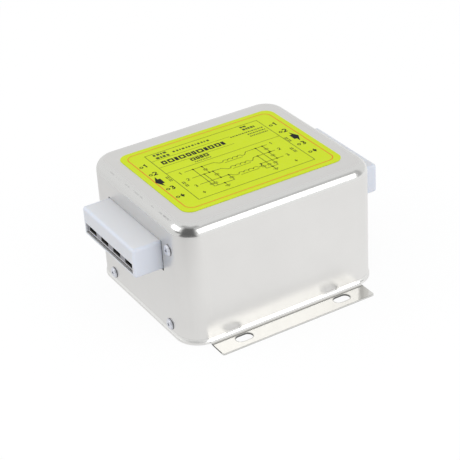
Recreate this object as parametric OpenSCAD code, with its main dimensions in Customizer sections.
// Three-phase mains line filter: a drawn steel case with two mounting flanges,
// a four-way terminal block with a clip-on cover at each end, and inside it a
// three-winding ring choke with its capacitors on a board. Millimetres, +Z up,
// mounting face at z = 0, mains in at -X and load out at +X.

/* [Case] */
// Length of the case along the line, end wall to end wall
case_l = 120; // [114:1:136]
// Width of the case between the two flanges
case_w = 103; // [100:1:116]
// Height of the case above its mounting face
case_h = 72; // [70:1:84]
// Thickness of the drawn steel
sheet = 1; // [0.8:0.1:1.2]
// Outer radius of the upright corners
corner_r = 13.5; // [11:0.5:15]
// Outer radius round the top edge
top_r = 6.5; // [4:0.5:8]
// Radius of the bend from wall to flange, on the side that shows
bend_r = 2.5; // [2:0.1:3]
// How far the trimmed rim stands out from the wall away from the flanges
rim = 0.5; // [0.3:0.1:0.8]

/* [Mounting] */
// Length of each flange along the line
flange_l = 95.6; // [88:0.2:104]
// Reach of each flange from the wall
flange_w = 13; // [12:0.5:18]
// Distance between slots along the line
slot_pitch_x = 62; // [50:1:76]
// Distance from the wall to the middle of a slot
slot_offset = 6.3; // [6.2:0.1:7.5]
// Overall length of a slot
slot_l = 10; // [8:0.5:14]
// Width of a slot
slot_w = 6; // [4.5:0.5:6]

/* [Terminals] */
// Distance between neighbouring wire entries
pole_pitch = 13.5; // [12.5:0.1:14.5]
// Clear width of one wire entry
window_w = 7.8; // [6:0.1:8]
// Height of the middle of the covers above the mounting face
cover_z = 47.4; // [47:0.2:50]
// Height of a cover
cover_h = 17; // [16:0.1:18]
// How far a cover stands out from the end wall
cover_d = 16.2; // [15:0.2:19]
// Height of the wire slot in the front of a cover
slot_h = 5.8; // [5.2:0.1:6.4]
// Diameter of a terminal screw
screw_d = 4; // [3:0.5:4]

/* [Choke] */
// Outer diameter of the ring core
core_od = 60; // [54:1:60]
// Inner diameter of the ring core
core_id = 34; // [34:1:38]
// Height of the ring core
core_h = 21; // [14:1:21]
// Diameter of the enamelled wire
wire_d = 3.2; // [2:0.1:3.2]
// Turns in each of the three windings
turns = 7; // [4:1:7]

/* [Hidden] */
$fn = 48;
eps = 0.01;
ways = 4;
lines = 3;
ENDS = ["input", "output"];

// fits
cover_clear = 0.5;
side_gap = 0.3;
flank_gap = 0.6;
press = 0.1;

// rivets
rivet_d = 3.3;
rivet_head_d = 6.2;
rivet_head_h = 1.3;
rivet_tail_d = 4.9;
rivet_tail_h = 2.2;
mandrel_d = 1.9;
mandrel_reach = 1.2;
bottom_rivet_z = sheet + bend_r + rivet_head_d / 2;
bottom_rivet_y = 31.5;

// terminal block and its cover, measured outward from the end wall
cover_t = 1.1;
cover_edge = 1.5;
slot_lip = 2.1;
pocket_w = 9.6;
pocket_wall = 1.9;
nose_w = (ways - 1) * pole_pitch + pocket_w + 2 * pocket_wall;
cover_w = nose_w + 2 * (flank_gap + cover_t);
cover_z0 = cover_z - cover_h / 2;
slot_w_front = nose_w - 1.5;
nose_front = cover_d - cover_t - press;
slot_z0 = cover_z0 + slot_lip;
nose_z0 = slot_z0 + 0.4;
nose_z1 = cover_z0 + cover_h - cover_t - side_gap;
boss_back = -12;
ear_t = 3;
ear_w = cover_w + 21.3;
ear_h = cover_h + 2.6;
ear_rivet_y = cover_w / 2 + 7.35;
ear_rivet_dz = cover_h / 2 - 1.7;
ear_edge = 1.6;
ear_relief = 0.5;
pocket_x0 = 3.5;
front_wall = 0.8;
pocket_x1 = nose_front - front_wall;
nub_r = 1.2;
nub_h = 8;
nub_x = 3;

// parts of one terminal
window_z0 = nose_z0 + 1.3;
cage_t = 0.8;
cage_top = 1.4;
cage_w = pocket_w - 0.4;
cage_x0 = pocket_x0 + 0.6;
cage_x1 = pocket_x1 - 0.4;
cage_z0 = nose_z0;
screw_head_h = 1.7;
screw_head_d = 6.8;
cage_z1 = nose_z1 - screw_head_h - 0.8;
bar_w = 6.8;
bar_t = 1.3;
bar_z1 = cage_z1 - cage_top - 0.3;
bar_z0 = bar_z1 - bar_t;
bar_back = -17;
tail_x = -14.2;

// bottom plate
plate_t = 1;
plate_z = 1.5;
plate_clear = 0.3;
plate_top = plate_z + plate_t;
lip_w = 75;
lip_r = 2;
lip_top = bottom_rivet_z + rivet_head_d / 2 + 1.5;
notch = 1;

// board
board_t = 1.6;
board_top = nose_z0 - 0.3;
board_z = board_top - board_t;
board_l = case_l - 22;
board_w = case_w - 9;
stand_x = case_l / 2 - 19;
stand_y = case_w / 2 - 8.5;
stand_af = 6;
m3 = 3;
m3_head_d = 5.6;
m3_head_h = 1.8;
board_screw_l = 8;
standoff_screw_l = 7;
head_h = 1.3;

// choke
coat = 0.3;
core_edge = 2;
base_t = 2.5;
base_top = plate_top + base_t;
core_z = base_top + wire_d + coat;
choke_top = core_z + core_h + coat + wire_d;
core_mid = core_z + core_h / 2;
clamp_t = 1.6;
clamp_lap = 6;
base_lap = 2;
rib_w = 4;
hub_r = 4.5;
fin_t = 1.4;
m4 = 4;
m4_head_d = 7;
bolt_spare = 0.6;
nut_h = 3.2;
nut_af = 7;
ring_mid = (core_od + core_id) / 4;
turn_a = (core_od - core_id) / 4 + coat + wire_d / 2;
turn_b = core_h / 2 + coat + wire_d / 2;
turn_r = core_edge + coat + wire_d / 2;
ring_out = core_od / 2 + coat + wire_d;
turn_pitch = 2 * asin((wire_d + 0.1) / (2 * (ring_mid - turn_a)));
winding_arc = (turns - 0.25) * turn_pitch;
wire_sides = 8;
lead_bend = 2.2;
lead_gap = 1.6;
lead_step = 5;
lead_z = choke_top + wire_d / 2 + lead_gap;
lead_x = case_l / 2 + tail_x;
lead_top = bar_z1 + 1;
run_y = ring_out + wire_d / 2 + 1.5;
run_x = 36;

// small parts on the board and on the floor
x_cap = [10.5, 26.5, 19];
y_cap = [8.5, 18, 15];
pin_d = 0.8;
pin_reach = 1.2;
row_pitch = 30;
x_cap_x = -25;
y_cap_x = 25;
resistor_x = -9;
resistor_d = 4;
resistor_l = 11;
earth_d = 2.6;
earth_reach = 10.5;
lug_t = 0.8;
lug_r = 4;
liner_t = 0.4;
liner_inset = 12.5;
liner_r = 4;
label_l = 97.8;
label_w = 75.6;
label_r = 6;
label_t = 0.25;

// ---------- placing ----------

// Children are drawn with x measured outward from the end wall's outer face.
module at_end(end) {
    rotate([0, 0, end == "input" ? 180 : 0])
        translate([case_l / 2, 0, 0])
            children();
}

// Poles 1 to 4 run from +Y to -Y at both ends.
function pole_y(i) = ((ways + 1) / 2 - i) * pole_pitch;
function row_y(i) = ((lines + 1) / 2 - i) * row_pitch;

module at_pole(end, i) {
    at_end(end)
        translate([0, (end == "input" ? -1 : 1) * pole_y(i), 0])
            children();
}

module at_four(x, y) {
    for (sx = [-1, 1], sy = [-1, 1])
        translate([sx * x, sy * y, 0])
            children();
}

// ---------- shared shapes ----------

module rounded_rect(l, w, r) {
    square([l - 2 * r, w], center = true);
    square([l, w - 2 * r], center = true);
    at_four(l / 2 - r, w / 2 - r)
        circle(r);
}

module rounded_box(size, r) {
    translate([0, 0, size.z / 2])
        linear_extrude(size.z, center = true)
            rounded_rect(size.x, size.y, r);
}

module quarter_ring(outer, inner) {
    intersection() {
        difference() {
            circle(outer);
            circle(inner);
        }
        square(outer);
    }
}

// Sweeps a section round a rounded rectangle. The section's x is measured
// from the centre of the corners, so x = r is the face of the wall.
module swept(l, w, r) {
    for (a = [0, 180])
        rotate([0, 0, a]) {
            translate([0, w / 2 - r, 0])
                rotate([90, 0, 90])
                    linear_extrude(l - 2 * r, center = true)
                        children();
            translate([l / 2 - r, 0, 0])
                rotate([90, 0, 0])
                    linear_extrude(w - 2 * r, center = true)
                        children();
        }
    for (k = [0:3])
        translate([(k == 0 || k == 3 ? 1 : -1) * (l / 2 - r), (k < 2 ? 1 : -1) * (w / 2 - r), 0])
            rotate([0, 0, 90 * k])
                rotate_extrude(angle = 90)
                    children();
}

// Cylinder along x from x0 to x1.
module rod_x(x0, x1, d) {
    translate([x0, 0, 0])
        rotate([0, 90, 0])
            cylinder(h = x1 - x0, d = d);
}

// Cylinder along z from z0 to z1.
module rod_z(z0, z1, d) {
    translate([0, 0, z0])
        cylinder(h = z1 - z0, d = d);
}

// Low round head with its seat at z = 0, and a screwdriver slot across it.
module slotted_head(d, h) {
    difference() {
        cylinder(h = h, d = d);
        translate([-d, -0.5, h - 0.6])
            cube([2 * d, 1, 1]);
    }
}

// ---------- wire ----------

function unit(v) = v / norm(v);

// Direction of the path at each of its points.
function directions(path) = [
    for (i = [0:len(path) - 1])
        unit(path[min(i + 1, len(path) - 1)] - path[max(i - 1, 0)])
];

// A normal carried along the path without twist.
function square_to(t, v) = unit(v - (v * t) * t);
function carried(dirs, first) = [
    for (i = 0, v = square_to(dirs[0], first);
         i < len(dirs);
         i = i + 1, v = i < len(dirs) ? square_to(dirs[i], v) : v)
        v
];

// A round wire swept along a path of points.
module wire(path, d, first) {
    t = directions(path);
    u = carried(t, first);
    n = wire_sides;
    last = len(path) - 1;
    points = [
        for (i = [0:last], k = [0:n - 1])
            let (a = 360 * k / n, v = cross(t[i], u[i]))
                path[i] + d / 2 * (cos(a) * u[i] + sin(a) * v)
    ];
    sides = [
        for (i = [0:last - 1], k = [0:n - 1])
            let (m = (k + 1) % n)
                [i * n + k, (i + 1) * n + k, (i + 1) * n + m, i * n + m]
    ];
    caps = [
        [for (k = [0:n - 1]) k],
        [for (k = [n - 1:-1:0]) last * n + k]
    ];
    polyhedron(points = points, faces = concat(sides, caps), convexity = 10);
}

// Rounds the inner points of a polyline: each becomes five points on a curve.
function bent(p, r) = concat(
    [p[0]],
    [
        for (i = [1:len(p) - 2], s = [0:0.25:1])
            let (
                a = p[i] + r * unit(p[i - 1] - p[i]),
                b = p[i] + r * unit(p[i + 1] - p[i])
            )
                (1 - s) * (1 - s) * a + 2 * s * (1 - s) * p[i] + s * s * b
    ],
    [p[len(p) - 1]]
);

// Point on a turn: q counts quarters from the outer face, downward first.
// Each quarter starts with the round of a corner and ends with a straight.
function turn_point(q, phi) =
    let (
        k = floor(q),
        f = min((q - k) / 0.3, 1),
        a = -90 * k - 90 * f,
        cx = [1, -1, -1, 1][k % 4] * (turn_a - turn_r),
        cz = [-1, -1, 1, 1][k % 4] * (turn_b - turn_r),
        rho = ring_mid + cx + turn_r * cos(a)
    )
        [rho * cos(phi), rho * sin(phi), core_mid + cz + turn_r * sin(a)];

// One winding: starts down the outer face at from, ends outward over the top.
function coil(from, way) = [
    for (k = [0:4 * turns - 1], j = [0:3])
        let (q = k + 0.1 * j)
            if (k < 4 * turns - 1 || j == 0)
                turn_point(q, from + way * turn_pitch * (q / 4))
];

// ---------- case ----------

module case_section() {
    translate([0, case_h - sheet])
        square([corner_r - top_r, sheet]);
    translate([corner_r - top_r, case_h - top_r])
        quarter_ring(top_r, top_r - sheet);
    translate([corner_r - sheet, sheet + bend_r])
        square([sheet, case_h - top_r - sheet - bend_r]);
    translate([corner_r + bend_r, sheet + bend_r])
        rotate(180)
            quarter_ring(bend_r + sheet, bend_r);
    translate([corner_r + bend_r, 0])
        square([flange_w - bend_r, sheet]);
}

module case_outline() {
    rounded_rect(case_l + 2 * rim, case_w + 2 * rim, corner_r + rim);
    rounded_rect(flange_l, case_w + 2 * flange_w, 1);
}

module slot_outline() {
    square([slot_l - slot_w, slot_w], center = true);
    for (s = [-1, 1])
        translate([s * (slot_l - slot_w) / 2, 0])
            circle(d = slot_w);
}

// Opening in the end wall that the cover passes through.
module terminal_opening() {
    translate([-sheet - 1, 0, cover_z])
        rotate([90, 0, 90])
            rounded_box([cover_w + 2 * cover_clear, cover_h + 2 * cover_clear, sheet + 2], cover_edge);
}

module ear_rivet_places() {
    for (s = [-1, 1])
        translate([0, s * ear_rivet_y, cover_z + s * ear_rivet_dz])
            children();
}

module bottom_rivet_places() {
    for (s = [-1, 1])
        translate([0, s * bottom_rivet_y, bottom_rivet_z])
            children();
}

module case() {
    color("silver")
        difference() {
            intersection() {
                union() {
                    swept(case_l, case_w, corner_r)
                        case_section();
                    translate([0, 0, case_h - sheet / 2])
                        cube([case_l - 2 * corner_r, case_w - 2 * corner_r, sheet], center = true);
                }
                linear_extrude(case_h + 1)
                    case_outline();
            }
            for (e = ENDS)
                at_end(e) {
                    terminal_opening();
                    ear_rivet_places()
                        rod_x(-sheet - 1, 1, rivet_d);
                    bottom_rivet_places()
                        rod_x(-sheet - 1, 1, rivet_d);
                }
            at_four(slot_pitch_x / 2, case_w / 2 + slot_offset)
                translate([0, 0, -1])
                    linear_extrude(sheet + 2)
                        slot_outline();
        }
}

// Half section of a set blind rivet: x is the radius, y runs outward with the
// head seated at y = 0 and the sheets gripped back to y = -grip.
module rivet_section(grip) {
    dome_r = (pow(rivet_head_d / 2, 2) + pow(rivet_head_h, 2)) / (2 * rivet_head_h);
    difference() {
        union() {
            intersection() {
                translate([0, rivet_head_h - dome_r])
                    circle(dome_r);
                square([rivet_head_d, rivet_head_h + 1]);
            }
            translate([0, -grip])
                square([rivet_d / 2, grip]);
            translate([0, -grip - rivet_tail_h])
                square([rivet_tail_d / 2, rivet_tail_h]);
        }
        translate([-1, -grip])
            square([1 + mandrel_d / 2, grip + rivet_head_h + 1]);
    }
    translate([0, -grip - rivet_tail_h - mandrel_reach])
        square([mandrel_d / 2, mandrel_reach + eps]);
}

module blind_rivet(grip) {
    rotate([0, 90, 0])
        rotate_extrude()
            rivet_section(grip);
}

module bottom_rivets() {
    color("gainsboro")
        for (e = ENDS)
            at_end(e)
                bottom_rivet_places()
                    blind_rivet(sheet + plate_t);
}

module block_rivets() {
    color("gainsboro")
        for (e = ENDS)
            at_end(e)
                ear_rivet_places()
                    blind_rivet(sheet + ear_t);
}

module label() {
    color("greenyellow")
        translate([0, 0, case_h])
            rounded_box([label_l, label_w, label_t], label_r);
}

// ---------- bottom plate ----------

module plate_lip_section() {
    lip_face = case_l / 2 - sheet;
    translate([lip_face - lip_r, plate_z + lip_r])
        rotate(-90)
            quarter_ring(lip_r, lip_r - plate_t);
    translate([lip_face - plate_t, plate_z + lip_r])
        square([plate_t, lip_top - plate_z - lip_r]);
    translate([lip_face - lip_r - 2, plate_z])
        square([2, plate_t]);
}

module bottom_plate() {
    inner_l = case_l - 2 * sheet;
    inner_w = case_w - 2 * sheet;
    color("silver")
        difference() {
            union() {
                translate([0, 0, plate_z])
                    linear_extrude(plate_t)
                        difference() {
                            rounded_rect(
                                inner_l - 2 * plate_clear,
                                inner_w - 2 * plate_clear,
                                corner_r - sheet - plate_clear
                            );
                            for (s = [-1, 1])
                                translate([s * (inner_l / 2), 0])
                                    square([2 * lip_r, lip_w + 2 * notch], center = true);
                        }
                for (a = [0, 180])
                    rotate([0, 0, a])
                        rotate([90, 0, 0])
                            linear_extrude(lip_w, center = true)
                                plate_lip_section();
            }
            for (e = ENDS)
                at_end(e)
                    bottom_rivet_places()
                        rod_x(-sheet - plate_t - 1, 0, rivet_d);
            at_four(stand_x, stand_y)
                rod_z(0, plate_top + 1, m3);
            rod_z(0, plate_top + 1, m4);
            for (e = ENDS)
                at_end(e)
                    earth_screw_place(e)
                        rod_z(0, plate_top + 1, m4);
        }
}

// ---------- terminals ----------

module ear_plate() {
    translate([-sheet - ear_t, 0, cover_z - ear_h / 2])
        linear_extrude(ear_h)
            polygon([
                [0, -ear_w / 2],
                [ear_t - ear_relief, -ear_w / 2],
                [ear_t, -ear_w / 2 + ear_edge],
                [ear_t, ear_w / 2 - ear_edge],
                [ear_t - ear_relief, ear_w / 2],
                [0, ear_w / 2]
            ]);
}

module cover_nubs(r) {
    for (s = [-1, 1])
        translate([nub_x, s * (cover_w / 2 - cover_t - side_gap - nub_r / 2), cover_z - nub_h / 2])
            cylinder(h = nub_h, r = r);
}

module block(end) {
    color("darkgray")
        difference() {
            union() {
                at_end(end) {
                    ear_plate();
                    translate([boss_back, -nose_w / 2, nose_z0])
                        cube([nose_front - boss_back, nose_w, nose_z1 - nose_z0]);
                    cover_nubs(nub_r);
                }
            }
            at_end(end)
                ear_rivet_places()
                    rod_x(-sheet - ear_t - 1, 0, rivet_d);
            for (i = [1:ways])
                at_pole(end, i) {
                    translate([pocket_x0, -pocket_w / 2, nose_z0 - 1])
                        cube([pocket_x1 - pocket_x0, pocket_w, nose_z1 - nose_z0 + 2]);
                    translate([pocket_x0, -window_w / 2, window_z0])
                        cube([cover_d, window_w, bar_z0 - window_z0]);
                    translate([boss_back - 1, -bar_w / 2, bar_z0])
                        cube([pocket_x1 - boss_back, bar_w, bar_t]);
                }
        }
}

module cover_section() {
    depth = cover_d + sheet;
    translate([0, depth - cover_t])
        square([eps, cover_t]);
    translate([0, depth - cover_edge])
        quarter_ring(cover_edge, cover_edge - cover_t);
    translate([cover_edge - cover_t, 0])
        square([cover_t, depth - cover_edge]);
}

module cover(end) {
    depth = cover_d + sheet;
    color("lavender")
        at_end(end)
            difference() {
                translate([-sheet, 0, cover_z])
                    rotate([90, 0, 90]) {
                        swept(cover_w, cover_h, cover_edge)
                            cover_section();
                        translate([0, 0, depth - cover_t / 2])
                            cube([cover_w - 2 * cover_edge, cover_h - 2 * cover_edge, cover_t], center = true);
                    }
                translate([nose_front, -slot_w_front / 2, slot_z0])
                    cube([cover_d, slot_w_front, slot_h]);
                cover_nubs(nub_r + press);
            }
}

// Rising cage that pulls the wire up against the bar.
module clamp(end, i) {
    color("goldenrod")
        at_pole(end, i)
            difference() {
                translate([cage_x0, -cage_w / 2, cage_z0])
                    cube([cage_x1 - cage_x0, cage_w, cage_z1 - cage_z0]);
                translate([cage_x0 - 1, -cage_w / 2 + 1, cage_z0 + cage_t])
                    cube([cage_x1, cage_w - 2, cage_z1 - cage_top - cage_z0 - cage_t]);
                terminal_screw_place()
                    rod_z(cage_z0 + 2, cage_z1 + 1, screw_d);
            }
}

module terminal_screw_place() {
    translate([(cage_x0 + cage_x1) / 2, 0, 0])
        children();
}

module screws(end) {
    color("gainsboro")
        for (i = [1:ways])
            at_pole(end, i)
                terminal_screw_place() {
                    rod_z(bar_z1, nose_z1 - screw_head_h, screw_d);
                    translate([0, 0, nose_z1 - screw_head_h])
                        slotted_head(screw_head_d, screw_head_h);
                }
}

// Current bar from the cage back through the block, with a hole for the wire.
module bar(end, i) {
    color("goldenrod")
        at_pole(end, i)
            difference() {
                translate([bar_back, -bar_w / 2, bar_z0])
                    cube([pocket_x1 - bar_back, bar_w, bar_t]);
                translate([tail_x, 0, 0])
                    rod_z(bar_z0 - 1, bar_z1 + 1, wire_d + 0.3);
            }
}

// ---------- earth ----------

module earth_screw_place(end) {
    translate([tail_x, (end == "input" ? -1 : 1) * (pole_y(ways) - earth_reach), 0])
        children();
}

module earth_lead(end) {
    wire_z = plate_top + 1.9;
    color("yellowgreen")
        at_pole(end, ways)
            translate([tail_x, 0, 0])
                rotate([0, 0, end == "input" ? 0 : 180]) {
                    rod_z(wire_z, lead_top, earth_d);
                    translate([0, 0, wire_z])
                        sphere(d = earth_d);
                    translate([0, 0, wire_z])
                        rotate([-90, 0, 0])
                            cylinder(h = earth_reach - lug_r, d = earth_d);
                    translate([0, earth_reach - lug_r - 3.4, wire_z])
                        rotate([-90, 0, 0])
                            cylinder(h = 3.8, r = 1.9);
                    translate([0, earth_reach, plate_top])
                        difference() {
                            cylinder(h = lug_t, r = lug_r);
                            translate([0, 0, -1])
                                cylinder(h = lug_t + 2, d = m4);
                        }
                }
}

module earth_screws() {
    color("gainsboro")
        for (e = ENDS)
            at_end(e)
                earth_screw_place(e) {
                    rod_z(0.3, plate_top + lug_t, m4);
                    translate([0, 0, plate_top + lug_t])
                        slotted_head(7, 2.4);
                }
}

// ---------- board ----------

module circuit_board() {
    color("seagreen")
        difference() {
            translate([0, 0, board_z])
                rounded_box([board_l, board_w, board_t], 3);
            at_four(stand_x, stand_y)
                rod_z(0, case_h, m3);
            for (e = ENDS, i = [1:ways])
                at_pole(e, i)
                    translate([tail_x, 0, 0])
                        rod_z(0, case_h, wire_d + 0.3);
            for (i = [1:lines]) {
                box_pin_places(x_cap_x, row_y(i), x_cap.y)
                    rod_z(0, case_h, pin_d);
                box_pin_places(y_cap_x, row_y(i), y_cap.y)
                    rod_z(0, case_h, pin_d);
                box_pin_places(resistor_x, row_y(i), resistor_l + 8)
                    rod_z(0, case_h, pin_d);
            }
        }
}

// The two pins of a part that is long across the board.
module box_pin_places(x, y, length) {
    for (s = [-1, 1])
        translate([x, y + s * (length / 2 - 2), 0])
            children();
}

module standoffs() {
    color("gainsboro")
        at_four(stand_x, stand_y)
            difference() {
                translate([0, 0, plate_top])
                    cylinder(h = board_z - plate_top, d = stand_af / cos(30), $fn = 6);
                rod_z(0, case_h, m3);
            }
}

module board_screws() {
    color("silver")
        at_four(stand_x, stand_y) {
            rod_z(board_z - board_screw_l, board_top, m3);
            translate([0, 0, board_top])
                slotted_head(m3_head_d, m3_head_h);
        }
}

module standoff_screws() {
    color("silver")
        at_four(stand_x, stand_y) {
            rod_z(plate_z, plate_z + standoff_screw_l, m3);
            translate([0, 0, plate_z])
                mirror([0, 0, 1])
                    slotted_head(m3_head_d, head_h);
        }
}

module box_capacitor(place, size) {
    translate([place.x, place.y, board_top])
        rounded_box(size, 1);
    box_pin_places(place.x, place.y, size.y)
        rod_z(board_z - pin_reach, board_top + 1, pin_d);
}

module x_capacitor(i) {
    color("gold")
        box_capacitor([x_cap_x, row_y(i)], x_cap);
}

module y_capacitor(i) {
    color("steelblue")
        box_capacitor([y_cap_x, row_y(i)], y_cap);
}

module bleed_resistor(i) {
    body_z = board_top + resistor_d / 2;
    reach = resistor_l / 2 + 2;
    color("tan")
        translate([resistor_x, row_y(i), body_z])
            rotate([90, 0, 0]) {
                cylinder(h = resistor_l, d = resistor_d, center = true);
                cylinder(h = 2 * reach, d = pin_d, center = true);
            }
    color("tan")
        box_pin_places(resistor_x, row_y(i), resistor_l + 8) {
            rod_z(board_z - pin_reach, body_z, pin_d);
            translate([0, 0, body_z])
                sphere(d = pin_d);
        }
}

module insulation_sheet() {
    color("whitesmoke")
        translate([0, 0, case_h - sheet - liner_t])
            rounded_box([case_l - 2 * liner_inset, case_w - 2 * liner_inset, liner_t], liner_r);
}

// ---------- choke ----------

module choke_core() {
    color("dimgray")
        translate([0, 0, core_mid])
            rotate_extrude()
                translate([ring_mid, 0])
                    rounded_rect((core_od - core_id) / 2, core_h, core_edge);
}

module choke_base() {
    color("ivory")
        difference() {
            union() {
                rod_z(plate_top, base_top, core_od + 2 * base_lap);
                for (a = [30, 150, 270])
                    rotate([0, 0, a])
                        translate([core_id / 2 + 1, -rib_w / 2, base_top - eps])
                            cube([(core_od - core_id) / 2 - 2, rib_w, core_z - base_top + eps]);
            }
            rod_z(0, case_h, m4);
        }
}

// Three fins that keep the windings apart inside the ring.
module phase_divider() {
    color("ivory")
        translate([0, 0, base_top])
            linear_extrude(choke_top - base_top)
                difference() {
                    union() {
                        circle(hub_r);
                        for (a = [30, 150, 270])
                            rotate(a)
                                translate([hub_r - 1, -fin_t / 2])
                                    square([core_id / 2 - side_gap - hub_r + 1, fin_t]);
                    }
                    circle(d = m4);
                }
}

module choke_clamp() {
    color("peru")
        difference() {
            rod_z(choke_top, choke_top + clamp_t, core_id + 2 * clamp_lap);
            rod_z(0, case_h, m4);
        }
}

module choke_bolt() {
    color("silver") {
        rod_z(plate_z, choke_top + clamp_t + nut_h + bolt_spare, m4);
        translate([0, 0, plate_z])
            mirror([0, 0, 1])
                slotted_head(m4_head_d, head_h);
    }
}

module choke_nut() {
    color("silver")
        translate([0, 0, choke_top + clamp_t])
            difference() {
                cylinder(h = nut_h, d = nut_af / cos(30), $fn = 6);
                translate([0, 0, -1])
                    cylinder(h = nut_h + 2, d = m4);
            }
}

// Where a winding's lead meets the terminal bar of its line.
function bar_lead(side, i) = [
    [side * lead_x, pole_y(i), lead_top],
    [side * lead_x, pole_y(i), lead_z]
];

// Level point over the start of a winding, and one outside its end.
function over_ring(phi, rho, z) = [rho * cos(phi), rho * sin(phi), z];

function reversed(list) = [for (i = [len(list) - 1:-1:0]) list[i]];

// Angles at which the windings start, and the way each goes round the ring.
starts = [90 + winding_arc / 2, 210 - winding_arc / 2, 330 - winding_arc / 2];
ways_round = [-1, 1, 1];
function finish_angle(i) = starts[i - 1] + ways_round[i - 1] * winding_arc;

out_z = choke_top - wire_d / 2;
wire_r = core_od / 2 + coat + wire_d / 2;

// Leads from the input bars: the third one runs along the side of the ring.
function lead_in(i) =
    let (down = over_ring(starts[i - 1], wire_r, lead_z))
        i < 3
            ? concat(bar_lead(-1, i), [down])
            : concat(bar_lead(-1, i), [[-run_x, -run_y, lead_z], [down.x, -run_y, lead_z], down]);

// Leads to the output bars: the second one runs below the third one's.
function lead_out(i) =
    let (out = over_ring(finish_angle(i), ring_out + wire_d, out_z))
        i == 2
            ? concat(
                [[out.x, -run_y, out_z], [run_x, -run_y, out_z], [lead_x - lead_step, pole_y(4), out_z]],
                [[lead_x, pole_y(2), out_z], [lead_x, pole_y(2), lead_top]]
            )
            : concat([out, out + [0, 0, lead_z - out_z]], reversed(bar_lead(1, i)));

module winding(i) {
    turns_path = coil(starts[i - 1], ways_round[i - 1]);
    first = turns_path[0];
    last = turns_path[len(turns_path) - 1];
    path = concat(
        bent(concat(lead_in(i), [first + [0, 0, 2]]), lead_bend),
        turns_path,
        bent(concat([last + 0.01 * (lead_out(i)[0] - last)], lead_out(i)), lead_bend)
    );
    color("chocolate")
        wire(path, wire_d, [0, 1, 0]);
}

// ---------- drawing ----------

case();
bottom_plate();
bottom_rivets();
block_rivets();
label();
circuit_board();
standoffs();
board_screws();
standoff_screws();
earth_screws();
insulation_sheet();
choke_core();
choke_base();
phase_divider();
choke_clamp();
choke_bolt();
choke_nut();
for (e = ENDS) {
    block(e);
    cover(e);
    screws(e);
    earth_lead(e);
    for (i = [1:ways]) {
        clamp(e, i);
        bar(e, i);
    }
}
for (i = [1:lines]) {
    winding(i);
    x_capacitor(i);
    y_capacitor(i);
    bleed_resistor(i);
}
